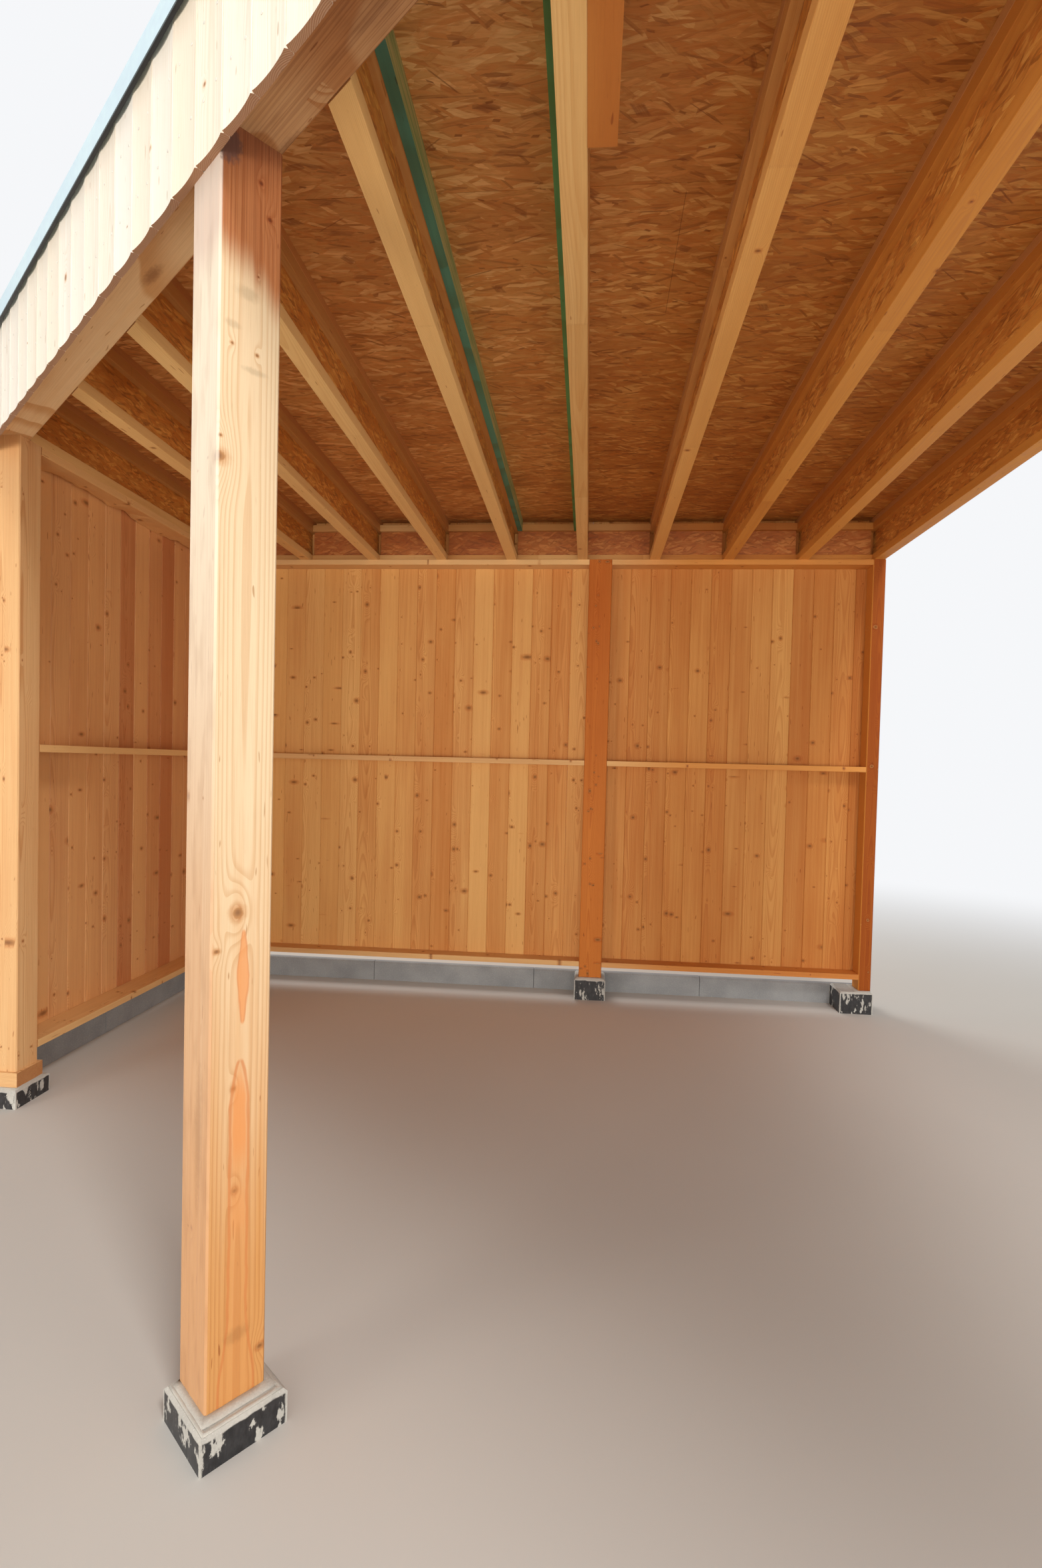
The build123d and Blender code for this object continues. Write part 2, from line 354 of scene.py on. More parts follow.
def timber(name, palette, grain=None, tone=None, stain=None, sheen=0.5, **habits):
    """Material of sawn timber in a pale and a deep colour. grain is (base, axes, pith): a point of a packed
    timber, its directions across, in depth and along the trunk, and the point's place from the pith. Without
    it the grain comes from the mesh."""
    graph = Surface(name)
    if grain:
        base, axes, pith = grain
        turn = Matrix(axes)
        feeds = {"Location": Vector(pith) - turn @ base, "Rotation": turn.to_euler()}
        place = graph.make("Mapping", {"Vector": graph.place(), **feeds})
        end = abs(graph.normal().dot(axes[2])).ease(0.60, 0.72)
        hue = 0.3
        if callable(tone):
            tone = tone(place)
    else:
        place = graph.attribute("grain", "Vector")
        tone = graph.attribute("tone")
        end = graph.attribute("end")
        hue = (tone * 53.0).math("FRACT")
    colour, rough, height = sawn(place, tone, hue, end, palette, **habits)
    # real marks, and painted light and shade, laid over the timber's colour
    if stain:
        colour = stain(place, colour)
    graph.same_all_over({"Specular IOR Level": sheen})
    return graph.finish(colour, rough, height, 0.0005)


# strand board
flake_inputs = ("u", "v", "seed", "turn", "gap_u", "gap_v", "length", "width", "share")
flake_outputs = ("cover", "shade", "reach", "fibre")
flake_red = (0.26, 0.070, 0.014)


def flake_group():
    """Loose flakes round the points of a stretched cell pattern: cover, shade, nearness to the rim, fibre."""
    graph = Group("Flakes", *flake_inputs)
    u, v, seed, turn, gap_u, gap_v, length, width, share = graph.inputs
    cosine, sine = turn.math("COSINE"), turn.math("SINE")
    a = (u * cosine + v * sine) / gap_u + seed * 7.3
    b = (v * cosine - u * sine) / gap_v + seed * 3.1
    (shade, pick, lean), (centre_a, centre_b, _) = cells(a, b)
    run = (a - centre_a) * gap_u
    side = (b - centre_b) * gap_v
    lean = (lean - 0.5) * 0.8
    long = run + side * lean
    wide = side - run * lean
    ragged = ((wide * 500.0 + shade * 60.0).noise_line() - 0.5) * 0.25
    reach_long = abs(long + wide * (shade - 0.5) * 2.4) / (length * 0.5) + ragged
    reach_wide = abs(wide) / ((shade * 0.7 + 0.5) * width * 0.5)
    reach = reach_long.most(reach_wide)
    cover = reach.ease(1.16, 0.80) * pick.math("LESS_THAN", share)
    fibre = join(long * 16.0 + pick * 30.0, wide * 260.0 + shade * 20.0).noise(detail=1.0)
    graph.give(cover=cover, shade=shade, reach=reach, fibre=fibre)
    return graph.tree


flake_tree = flake_group()


def strand_board(name, dark, middle, light, across_axis=0, size=1.0, spread=1.0, marks=0.75, stain=None):
    """Material of strand board: flat flakes glued over each other, most of them along the board."""
    graph = Surface(name)
    axes = graph.attribute("grain", "Vector").split()
    u, v = axes[2] / size, axes[across_axis] / size
    flat = join(u, v)
    cloud = flat.noise(2.6, 4.2, 0, detail=3.0)
    fine = flat.noise(30, 190, 0)
    tone = cloud * 0.5 + fine * 0.35 + graph.attribute("tone") * 0.3 - 0.08
    lift = cloud

    def flakes(seed, turn, *sizes):
        """A layer on top of the last: leaning on its lift by a trace has Blender work them out in turn."""
        values = (u, v + lift * 0.001, seed, turn * spread, *sizes)
        node = graph.put("Group", dict(zip(flake_inputs, values)), node_tree=flake_tree)
        return [graph.out(node, key) for key in flake_outputs]

    # turn, length, width and share of each layer
    layers = ((0.05, 0.100, 0.022, 0.80), (0.34, 0.090, 0.020, 0.60), (-0.30, 0.095, 0.018, 0.60),
              (0.12, 0.110, 0.016, 0.45), (-0.14, 0.080, 0.013, 0.45), (0.55, 0.060, 0.012, 0.30))
    for seed, (turn, length, width, share) in enumerate(layers):
        cover, shade, reach, fibre = flakes(seed, turn, length * 0.9, width * 1.3, length, width, share)
        rim = reach.ease(0.82, 1.0)
        flake = shade * 0.62 + fibre * 0.30 + 0.06 - rim * 0.06
        tone = tone + (flake - tone) * cover * 0.85
        lift = lift + (shade - rim * 0.6 - lift) * cover
    colour = tone.ease(0.08, 0.5).between(dark, middle)
    colour = colour.mix(light, tone.ease(0.5, 0.92))
    colour = colour.tint((1.0, 0.78, 0.62), (lift * 3.7).math("FRACT").ease(0.45, 0.75) * 0.55)
    colour = colour.tint((0.78, 0.66, 0.56), cloud.ease(0.58, 0.36) * 0.55)
    colour = colour.tint((0.74, 0.62, 0.50), fine.ease(0.45, 0.70) * 0.5)
    # the red ones: turn, spacing both ways, length, width, share and strength
    red_layers = ((0.0, 0.16, 0.080, 0.060, 0.015, 0.34, 0.75), (-0.25, 0.17, 0.10, 0.085, 0.0040, 0.30, 0.9),
                  (0.45, 0.19, 0.12, 0.075, 0.0034, 0.30, 0.9), (0.8, 0.30, 0.22, 0.034, 0.024, 0.5, 0.8),
                  (0.10, 0.075, 0.040, 0.016, 0.007, 0.22, 1.0))
    for seed, (turn, *sizes, strength) in enumerate(red_layers, 20):
        cover, _, _, fibre = flakes(seed, turn, *sizes)
        colour = colour.mix(flake_red, cover * strength * fibre.ease(0.2, 0.6, 0.45, 1.0) * marks)
        lift = lift - cover * 0.2
    colour = colour.tint((0.70, 0.55, 0.45), graph.attribute("end"))
    # real marks, and painted shade, laid over the board's colour
    if stain:
        colour = stain(flat, colour)
    return graph.finish(colour, lift.ease(0.0, 1.0, 0.5, 0.62), lift, 0.0006)


# mineral and metal
def speckled(name, colour, other, speck, rough=0.85, grain=140.0, coat=None):
    """Mineral surface such as concrete, mortar or roofing felt with granules."""
    graph = Surface(name)
    place = graph.place()
    cloud = place.noise(7, detail=4.0)
    fine = place.noise(grain, detail=3.0, roughness=0.7)
    dots = place.noise(grain * 2.3).ease(0.62, 0.72)
    surface = (cloud * 0.6 + fine * 0.4).ease(0.3, 0.7).between(colour, other)
    surface = surface.mix(speck, dots * 0.6)
    roughness = fine.ease(0.2, 0.8, rough - 0.08, min(rough + 0.08, 1.0))
    height = fine * 0.6 + dots * 0.3 + cloud * 0.4
    if coat:
        surface, roughness, height = coat(place, surface, roughness, height)
    return graph.finish(surface, roughness, height, 0.0012)


def black_coat(centre, axes, half, top):
    """Bitumen brushed on the sides of a pier, worn through in splotches, at the corners and at its top."""
    def paint(place, surface, roughness, height):
        _, _, z = place.split()
        local = place.vector("SUBTRACT", centre)
        across, depth = (half - abs(local.dot(axis)) for axis in axes)
        brush = place.noise(70, 70, 34, detail=4.0, roughness=0.65)
        blot = place.noise(27, 27, 14, detail=3.0)
        run = place.noise(60, 60, 14)
        rim = (z + (blot - 0.5) * 0.012).ease(top - 0.009, top - 0.006)
        edge = (across.most(depth) + (brush - 0.5) * 0.012).ease(0.007, 0.003)
        worn = (brush * 0.35 + blot * 0.4 + run * 0.25).ease(0.535, 0.56)
        bare = rim.most(edge).most(worn.most(across.least(depth).ease(0.003, 0.006)))
        tar = brush.ease(0.3, 0.7).between((0.012, 0.012, 0.014), (0.035, 0.035, 0.038))
        return bare.between(tar, surface), (roughness * bare).most(0.42), height * bare + brush * 0.5
    return paint


def painted_metal(name, colour, rough, metallic, under=None):
    """Coated sheet metal. under is the colour of faces that look down, a painted shade."""
    graph = Surface(name)
    place = graph.place()
    cloud, dust = place.noise(3, detail=3.0), place.noise(45, detail=4.0)
    light = tuple(min(c * 1.3 + 0.02, 1.0) for c in colour)
    surface = ((cloud * 0.5 + dust * 0.5).ease(0.35, 0.75) * 0.5).between(colour, light)
    # painted shade on the faces that look down
    if under:
        surface = surface.mix(under, graph.normal().dot(Z).ease(-0.4, -0.8))
    graph.same_all_over({"Metallic": metallic})
    return graph.finish(surface, dust.ease(0.3, 0.7, rough, rough + 0.12), cloud, 0.002)


# pieces
class Shape:
    """Gathers closed solids, with the grain coordinates that the timber material reads."""

    def __init__(self):
        self.points, self.faces = [], []
        self.grain, self.tone, self.ends = [], [], []

    def skin(self, loops, grain=None, tone=0.5, hoop=False):
        """Faces between equal loops of points. The first and the last loop close it, or meet in a hoop."""
        base, count = len(self.points), len(loops[0])
        turns = len(loops) if hoop else len(loops) - 1
        for loop, places in zip(loops, grain or loops):
            self.points += loop
            self.grain += places
            self.tone += [tone] * count
        for k in range(turns):
            low, high = base + k * count, base + (k + 1) % len(loops) * count
            for i in range(count):
                j = (i + 1) % count
                self.faces.append((low + i, low + j, high + j, high + i))
        self.ends += [0.0] * turns * count
        if not hoop:
            last = base + turns * count
            self.faces += [tuple(range(base, base + count))[::-1], tuple(range(last, last + count))]
            self.ends += [1.0, 1.0]

    def stick(self, section, places, pith=(0.0, 0.08, 0.0), tone=0.5):
        """Timber of one section. places are functions that turn a point of the section into a point of the
        timber, from its start to its end."""
        first, last = places[0](0.0, 0.0), places[-1](0.0, 0.0)
        way = (last - first).normalized()
        loops = [[place(a, d) for a, d in section] for place in places]
        grain = [[Vector((a, d, (p - first) @ way)) + Vector(pith) for (a, d), p in zip(section, loop)]
                 for loop in loops]
        self.skin(loops, grain, tone)

    def drawn(self, section, places, draw, middle, spread=0.16, odd=0.0):
        """Timber cut from anywhere in its trunk, in a shade round middle. A share, odd, is much deeper."""
        pith = draw.uniform(-0.07, 0.07), draw.uniform(0.04, 0.13), draw.uniform(0, 60)
        deeper = 0.45 if draw.random() < odd else 0.0
        self.stick(section, places, pith, min(max(draw.gauss(middle, spread) + deeper, 0.0), 1.0))

    def build(self, name, material, slot, *nodes, cuts=(), smooth=False):
        """Makes the piece. cuts are (point, normal): what lies beyond such a plane is cut away."""
        mesh = bpy.data.meshes.new(name)
        mesh.from_pydata(self.points, [], self.faces)
        for key, kind, domain, values in (
                ("grain", "FLOAT_VECTOR", "POINT", [c for g in self.grain for c in g]),
                ("tone", "FLOAT", "POINT", self.tone), ("end", "FLOAT", "FACE", self.ends)):
            layer = mesh.attributes.new(key, kind, domain)
            layer.data.foreach_set("vector" if kind == "FLOAT_VECTOR" else "value", values)
        work = bmesh.new()
        work.from_mesh(mesh)
        bmesh.ops.recalc_face_normals(work, faces=work.faces)
        end = work.faces.layers.float["end"]
        for point, normal in cuts:
            cut = bmesh.ops.bisect_plane(work, geom=[*work.verts, *work.edges, *work.faces], dist=1e-6,
                                         plane_co=point, plane_no=normal, clear_outer=True)
            edges = [part for part in cut["geom_cut"] if isinstance(part, bmesh.types.BMEdge)]
            for face in bmesh.ops.edgeloop_fill(work, edges=edges)["faces"]:
                face[end] = 1.0
            bmesh.ops.recalc_face_normals(work, faces=work.faces)
        for face in work.faces:
            face.smooth = smooth
        work.to_mesh(mesh)
        work.free()
        piece = link(name, mesh)
        mesh.materials.append(material)
        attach(piece, "root")
        if nodes:
            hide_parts(*nodes)


def link(name, data):
    """A new object in the scene."""
    piece = bpy.data.objects.new(name, data)
    bpy.context.scene.collection.objects.link(piece)
    return piece


def cover(node, material):
    """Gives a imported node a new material."""
    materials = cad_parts[node].data.materials
    materials.clear()
    materials.append(material)


def straight(first, last, side, up=Z):
    """The two ends of a straight stick."""
    return lambda a, d: first + side * a + up * d, lambda a, d: last + side * a + up * d


def arc(x, y, radius, start, steps, turn=90):
    """Points of a round corner, from an angle in degrees."""
    angles = [radians(start + turn * k / steps) for k in range(steps + 1)]
    return [(x + radius * cos(angle), y + radius * sin(angle)) for angle in angles]


def rounded(width, height, radius=0.0015, steps=2, low=0.0):
    """Rectangle with eased corners, centred across."""
    x, y = width / 2 - radius, low + height - radius
    corners = [(-x, low + radius, 180), (x, low + radius, 270), (x, y, 0), (-x, y, 90)]
    return [point for at_x, at_y, turn in corners for point in arc(at_x, at_y, radius, turn, steps)]


# materials of the boards, rails and joists
def painted_shade_to_right(tint, first, last):
    """Painted shade: a tint that sets in between two places of x, where the timber lies in warmer shade."""
    def stain(place, colour):
        x, _, _ = colour.graph.place().split()
        return colour.tint(tint, x.ease(first, last))
    return stain


# painted shade, deepening the rails and flanges towards the right
golden_painted_shade = painted_shade_to_right((0.86, 0.59, 0.26), 0.30, 1.0)
board_habits = {"ring": 0.0032, "knots": 0.42, "contrast": 0.42}
left_wood = timber("LeftBoards", ((0.79, 0.45, 0.190), (0.54, 0.200, 0.068)), **board_habits)
# painted shade deepens the rear wall's boards towards the right
board_wood = timber("Boards", ((0.84, 0.50, 0.185), (0.57, 0.215, 0.053)), sheen=0.2,
                    stain=painted_shade_to_right((0.84, 0.75, 0.63), 0.3, 0.9), **board_habits)
fascia_wood = timber("FasciaBoards", ((0.93, 0.90, 0.84), (0.90, 0.83, 0.72)), ring=0.0032, knots=0.05,
                     knot_size=0.006, contrast=0.20, cut=(0.38, 0.19, 0.09))
rail_wood = timber("Rails", ((0.80, 0.51, 0.225), (0.63, 0.31, 0.105)), stain=golden_painted_shade, ring=0.0028,
                   knots=0.3, contrast=0.35)
flange_wood = timber("FlangeTimber", ((0.80, 0.52, 0.215), (0.58, 0.285, 0.078)), stain=golden_painted_shade, ring=0.0026,
                     knots=0.06, knot_size=0.006, contrast=0.24, fingers=1.3)
strip_wood = timber("StripTimber", ((0.66, 0.34, 0.12), (0.50, 0.205, 0.058)), ring=0.0026, knots=0.15,
                    knot_size=0.006, contrast=0.34)

pencil_x, pencil_y, pencil_half = 0.577, 0.20, 0.255


def deck_painted_shade_and_pencil_line(place, colour):
    """Painted shade deepens the roof boards to the right; one has a thin line across it, as drawn for a cut.
    """
    x, y, _ = colour.graph.place().split()
    across = abs(x - pencil_x).ease(0.0011, 0.0004)
    run = abs(y - pencil_y).ease(pencil_half, pencil_half - 0.01)
    # painted shade, deeper to the right and a little to the rear
    colour = colour.tint((0.80, 0.69, 0.42), (x + y * 0.2).ease(0.0, 0.9) * 0.9)
    return colour.tint((0.30, 0.22, 0.16), across * run * 0.8)


deck_board = strand_board("DeckBoard", (0.32, 0.105, 0.024), (0.67, 0.315, 0.088), (0.94, 0.60, 0.25),
                          size=1.1, stain=deck_painted_shade_and_pencil_line)
web_board = strand_board("WebBoard", (0.28, 0.085, 0.014), (0.65, 0.275, 0.052), (0.92, 0.52, 0.13), 1,
                         size=0.8, marks=0.6, spread=0.6)
blocking_board = strand_board("BlockingBoard", (0.26, 0.075, 0.014), (0.50, 0.165, 0.032),
                              (0.72, 0.32, 0.085), 1, size=0.9, marks=0.5)
# the trim's pale sky blue is a painted reflection of the sky; its down-facing faces get painted shade
trim_metal = painted_metal("TrimMetal", (0.62, 0.80, 0.90), 0.30, 0.4, under=(0.012, 0.013, 0.016))
nail_metal = painted_metal("NailMetal", (0.74, 0.70, 0.64), 0.4, 0.5)
pier_concrete = (0.42, 0.41, 0.38), (0.56, 0.55, 0.51), (0.75, 0.74, 0.72)
kerb_concrete = speckled("KerbConcrete", (0.25, 0.26, 0.27), (0.35, 0.36, 0.37), (0.56, 0.56, 0.56))
mortar = speckled("Mortar", (0.44, 0.42, 0.38), (0.60, 0.58, 0.53), (0.76, 0.75, 0.73), grain=220.0)
felt = speckled("RoofingFelt", (0.10, 0.10, 0.105), (0.17, 0.17, 0.175), (0.32, 0.32, 0.32), 0.9, 380.0)
bitumen = speckled("BitumenBead", (0.012, 0.012, 0.013), (0.03, 0.03, 0.03), (0.06, 0.06, 0.06), 0.35, 90.0)

# posts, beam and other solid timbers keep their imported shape
beam_douglas = (0.93, 0.69, 0.41), (0.80, 0.48, 0.20)
douglas = (0.80, 0.54, 0.27), (0.62, 0.28, 0.095)
bright_douglas = (0.80, 0.64, 0.43), (0.64, 0.315, 0.102)
red_douglas = (0.61, 0.205, 0.040), (0.44, 0.112, 0.017)
# painted shade: a deeper copy of the Douglas colours for the rear right post, which stands in shade
painted_shade_douglas = (0.40, 0.108, 0.015), (0.28, 0.060, 0.007)
orange_douglas = (0.58, 0.245, 0.052), (0.46, 0.155, 0.030)
flame_fill, flame_edge, flame_core = (0.74, 0.29, 0.085), (0.60, 0.20, 0.052), (0.54, 0.16, 0.045)
post_half = post / 2
post_lift = 0.68        # from a height to the place along the front post's grain
beam_grain = 45.0       # place along the beam's grain at its middle
mid_post_grain = 31.0
batten_pith = 0.1


def patch(across, height, at, reach, edge=0.25):
    """Soft oval patch: 1 inside it."""
    far = reach_of((across - at[0]) / reach[0], (height - at[1]) / reach[1])
    ragged = (join(across * 160.0, height * 90.0).noise() - 0.5) * 0.9
    return (far + ragged).ease(1.0 + edge, 1.0 - edge)


def post_top_painted_shadow(across, depth, z, colour):
    """Painted shadow of the fascia: redder towards the top, with dark lines, and darkest right beneath it."""
    streak = join(across * 60.0, depth * 60.0, z * 1.5).noise()
    # painted shadow of the fascia, its edge slanting across the face
    top = (z + streak * 0.10 - across * 0.6).ease(2.30, 2.40)
    colour = colour.tint((0.62, 0.28, 0.13), top * 0.95)
    lines = join(across * 420.0, depth * 420.0, z * 2.0).noise(detail=1.0)
    colour = colour.tint((0.62, 0.50, 0.42), top * lines.ease(0.45, 0.6) * 0.5)
    # painted shade, darkest just below the fascia
    return colour.tint((0.50, 0.42, 0.40), (z + across * 0.5).ease(2.44, 2.57) * 0.85)


def post_left_painted_light(depth, z, left, colour):
    """Painted sunlight turns the left face paler upwards, near white; it has dirt on it, and a long smudge.
    """
    # painted sunlight on the left face, brighter upwards
    pale = z.ease(0.9, 2.2).between((0.56, 0.325, 0.185), (0.84, 0.79, 0.70))
    colour = colour.mix(pale, left * 0.6)
    dirt = join(depth * 30.0, z * 6.0).noise(detail=3.0)
    colour = colour.tint((0.80, 0.74, 0.70), dirt.ease(0.46, 0.66) * left * 0.5)
    smudge = patch(depth, z, (0.016, 0.62), (0.014, 0.11), 0.8)
    return colour.tint((0.74, 0.71, 0.69), smudge * left * 0.8)


def post_flames(across, z, right, colour):
    """Two orange flames low on the right face: a short one, and a tall one that spreads at the foot."""
    middle, half_length, half_width = 0.932, 0.098, 0.0140
    uneven = (join(across * 40.0, z * 14.0).noise() - 0.5) * 0.011
    taper = (1.0 - abs(z - middle) / half_length).most(0.0)
    rim = abs(across + 0.0035) + uneven - taper.math("POWER", 0.6) * half_width
    flame = rim.ease(0.0015, -0.0030) * taper.ease(0.0, 0.1) * right
    colour = colour.mix(flame_fill, flame * 0.75)
    colour = colour.mix(flame_core, flame * rim.ease(-0.0045, -0.0005) * 0.6)

    tip, tip_length, half_width = 0.77, 0.09, 0.0185
    reach = ((tip - z) / tip_length).most(0.0).least(1.0)
    spread = reach.math("POWER", 0.6) * half_width + z.ease(0.25, 0.10) * 0.018
    rim = abs(across) + uneven * 0.7 - spread
    there = reach.ease(0.0, 0.1) * right
    full = abs(z - 0.645).ease(0.13, 0.04) * 0.65 + abs(z - 0.46).ease(0.07, 0.01) * 0.3 + 0.2
    colour = colour.mix(flame_fill, rim.ease(0.0010, -0.0085) * full * there)
    return colour.mix(flame_edge, abs(rim).ease(0.0046, 0.0012) * there * 0.7)


def post_marks_and_painted_light(place, colour):
    """Marks and painted light and shade on the front post, with dark wane and grey smudges on its right face.
    """
    across, depth, z = place.split()
    z = z - post_lift
    right, left = (axis.ease(post_half - 0.006, post_half - 0.002) for axis in (depth, across))
    colour = post_top_painted_shadow(across, depth, z, colour)
    colour = post_left_painted_light(depth, z, left, colour)
    colour = post_flames(across, z, right, colour)
    wane = patch(across, z, (0.050, 2.530), (0.026, 0.036)) * right
    colour = colour.mix((0.11, 0.05, 0.04), wane * 0.85)
    for at, reach in (((0.007, 2.266), (0.020, 0.012)), ((0.036, 2.197), (0.014, 0.007)),
                      ((-0.009, 2.123), (0.022, 0.006)), ((0.001, 0.206), (0.022, 0.014))):
        smudge = patch(across, z, at, reach, 0.6) * right
        colour = colour.tint((0.66, 0.64, 0.60), smudge * 0.55)
    return colour


def post_painted_light_tone(place):
    """Tone of the front post, deeper towards the foot; its paler upper part is painted sunlight."""
    return place.split()[2].ease(2.35, 0.65, 0.10, 1.0)


def mid_post_tone(place):
    """Tone of the rear middle post, paler towards the foot."""
    return place.split()[2].ease(mid_post_grain - 1.0, mid_post_grain + 1.0, 0.05, 0.60)


def painted_lit_side(place, colour):
    """Painted light: the face towards the inside of the carport is paler, as if lit from there."""
    inside = colour.graph.normal().dot(-X).ease(0.4, 0.8)
    return colour.mix((0.72, 0.30, 0.06), inside * 0.75)


def beam_marks(place, colour):
    """Smudges and a few white drips on the beam's underside."""
    across, _, run = place.split()
    run = run - beam_grain
    near = run.ease(-1.1, 0.3)
    share = near * 0.6 + 0.1
    dirt = join(across * 14.0, run * 5.0).noise(detail=3.0)
    colour = colour.tint((0.60, 0.50, 0.42), dirt.ease(0.50, 0.72) * share)
    lines = join(across * 300.0, run * 1.5).noise()
    colour = colour.tint((0.55, 0.42, 0.34), lines.ease(0.45, 0.62) * share)
    colour = colour.tint((0.44, 0.25, 0.15), near * 0.85)
    for at in ((0.010, -1.03), (-0.032, -0.42), (0.030, 0.18), (-0.020, 0.62)):
        colour = colour.tint((0.40, 0.28, 0.20), patch(across, run, at, (0.012, 0.045), 0.7) * 0.7)
    for at in ((0.012, -0.62), (-0.010, -0.605), (0.034, -0.55)):
        drip = patch(across, run, at, (0.0022, 0.014), 0.3)
        colour = colour.mix((0.80, 0.76, 0.72), drip * 0.8)
    return colour


def green_side(place, colour):
    """The battens' sides are an olive green with runs, their undersides stay the deeper green."""
    _, depth, run = place.split()
    runs = join(depth * 90.0, run * 3.0).noise(detail=3.0)
    olive = runs.ease(0.35, 0.65).between((0.60, 0.57, 0.24), (0.28, 0.44, 0.17))
    edge = depth.ease(batten_pith + 0.024, batten_pith + 0.034)
    olive = olive.mix((0.05, 0.16, 0.06), edge * 0.7)
    side = abs(colour.graph.normal().dot(X)).ease(0.4, 0.8)
    return colour.mix(olive, side * 0.85)


def solid(node, palette, axes, pith, **more):
    """Gives a packed timber its material. axes are the directions across, in depth and along its trunk."""
    cover(node, timber("Timber_" + node, palette, (centre_of(node), axes, pith), **more))


# across its right face, height and size of each knot of the front post
post_knots = ((-0.017, 2.489, 0.0042), (-0.036, 2.429, 0.0048), (-0.0144, 2.308, 0.0022),
              (0.0574, 1.980, 0.0030), (0.0615, 1.941, 0.0115), (0.0104, 1.062, 0.0120),
              (0.0517, 0.991, 0.0048), (0.0134, 0.711, 0.0050), (0.0078, 0.503, 0.0060),
              (-0.0508, 0.155, 0.0065))
post_spots = [(atan2(across, post_half), height + post_lift, size) for across, height, size in post_knots]
upright, lying = (X, Y, Z), (X, Z, Y)
solid("front_post", bright_douglas, (outward, along, Z), (0.0, 0.0, centre_of("front_post").z + post_lift),
      tone=post_painted_light_tone, knots=0.05, knot_size=0.006, ring=0.0052, early=0.40, contrast=0.38, sway=0.008,
      spots=post_spots, stain=post_marks_and_painted_light)
solid("right_front_post", douglas, (along, -outward, Z), (0.0, 0.03, 9.0), tone=0.35, knots=0.2,
      knot_size=0.009, ring=0.0046, early=0.55, sway=0.015)
solid("left_corner_post", douglas, upright, (0.01, 0.04, 14.0), tone=0.45, knots=0.2, ring=0.0044,
      early=0.55, sway=0.015)
solid("rear_left_post", red_douglas, upright, (0.01, 0.08, 23.0), tone=0.4, knots=0.3, knot_size=0.009,
      ring=0.0036, sheen=0.15)
solid("rear_mid_post", red_douglas, upright, (0.015, 0.08, mid_post_grain), tone=mid_post_tone, knots=0.35,
      ring=0.0036, sheen=0.15)
solid("rear_right_post", painted_shade_douglas, upright, (-0.01, 0.10, 37.0), tone=0.5, knots=0.3, sheen=0.15,
      stain=painted_lit_side)
solid("front_beam", beam_douglas, (outward, Z, along), (0.03, 0.16, beam_grain), tone=0.4, knots=0.15,
      knot_size=0.010, sway=0.02, contrast=0.75, stain=beam_marks)
solid("side_timber", orange_douglas, lying, (0.0, 0.2, 52.0), tone=0.05, knots=0.05, knot_size=0.006,
      ring=0.0034, sway=0.01, contrast=0.9)
solid("sole_block", douglas, (Y, Z, X), (0.0, 0.06, 58.0), tone=0.4, knots=0.2, ring=0.0032)
solid("edge_battens", douglas, lying, (0.0, 0.09, 63.0), tone=0.2, knots=0.3)
for node, palette in (("green_batten_left", ((0.12, 0.37, 0.25), (0.055, 0.19, 0.145))),
                      ("green_batten_right", ((0.13, 0.38, 0.13), (0.07, 0.24, 0.09)))):
    solid(node, palette, lying, (0.0, batten_pith, 70.0), tone=0.45, knots=0.3, knot_size=0.007,
          stain=green_side)

# piers: concrete with a black coat, and mortar round what stands on them
pier_loads = {"front_pier": "front_post", "right_front_pier": "right_front_post",
              "left_front_pier": "sole_block", "rear_left_pier": "rear_left_post",
              "rear_mid_pier": "rear_mid_post", "rear_right_pier": "rear_right_post"}
# of the mortar bed: beyond the foot, from the pier's edge and into the foot
bed_reach, bed_inset, bed_overlap = 0.024, 0.012, 0.001
# share of the way from the foot to the bed's edge, lift over the pier, jitter
bed_rings = ((0.0, -0.001, 0.0), (0.0, 0.005, 0.0010), (0.45, 0.0045, 0.0012), (0.92, 0.003, 0.0010),
             (1.0, -0.001, 0.0016))
# inset from the pier's edge, lift, jitter
rim_rings = ((0.0175, -0.001, 0.0012), (0.0155, 0.0022, 0.0008), (0.0085, 0.0026, 0.0006),
             (0.0068, -0.001, 0.0004))


def box_line(centre, axes, halves, steps=7):
    """Points round a rectangle, as many on each side."""
    corners = [centre + axes[0] * halves[0] * a + axes[1] * halves[1] * b
               for a, b in ((-1, -1), (1, -1), (1, 1), (-1, 1))]
    return [p.lerp(q, k / steps) for p, q in zip(corners, corners[1:] + corners[:1]) for k in range(steps)]


def shaken(loop, draw, jitter, rise=0.0):
    """The points of a loop, each moved a little at random."""
    return [p + Vector((draw.uniform(-1, 1), draw.uniform(-1, 1), draw.uniform(-rise, rise) if rise else 0.0))
            * jitter for p in loop]


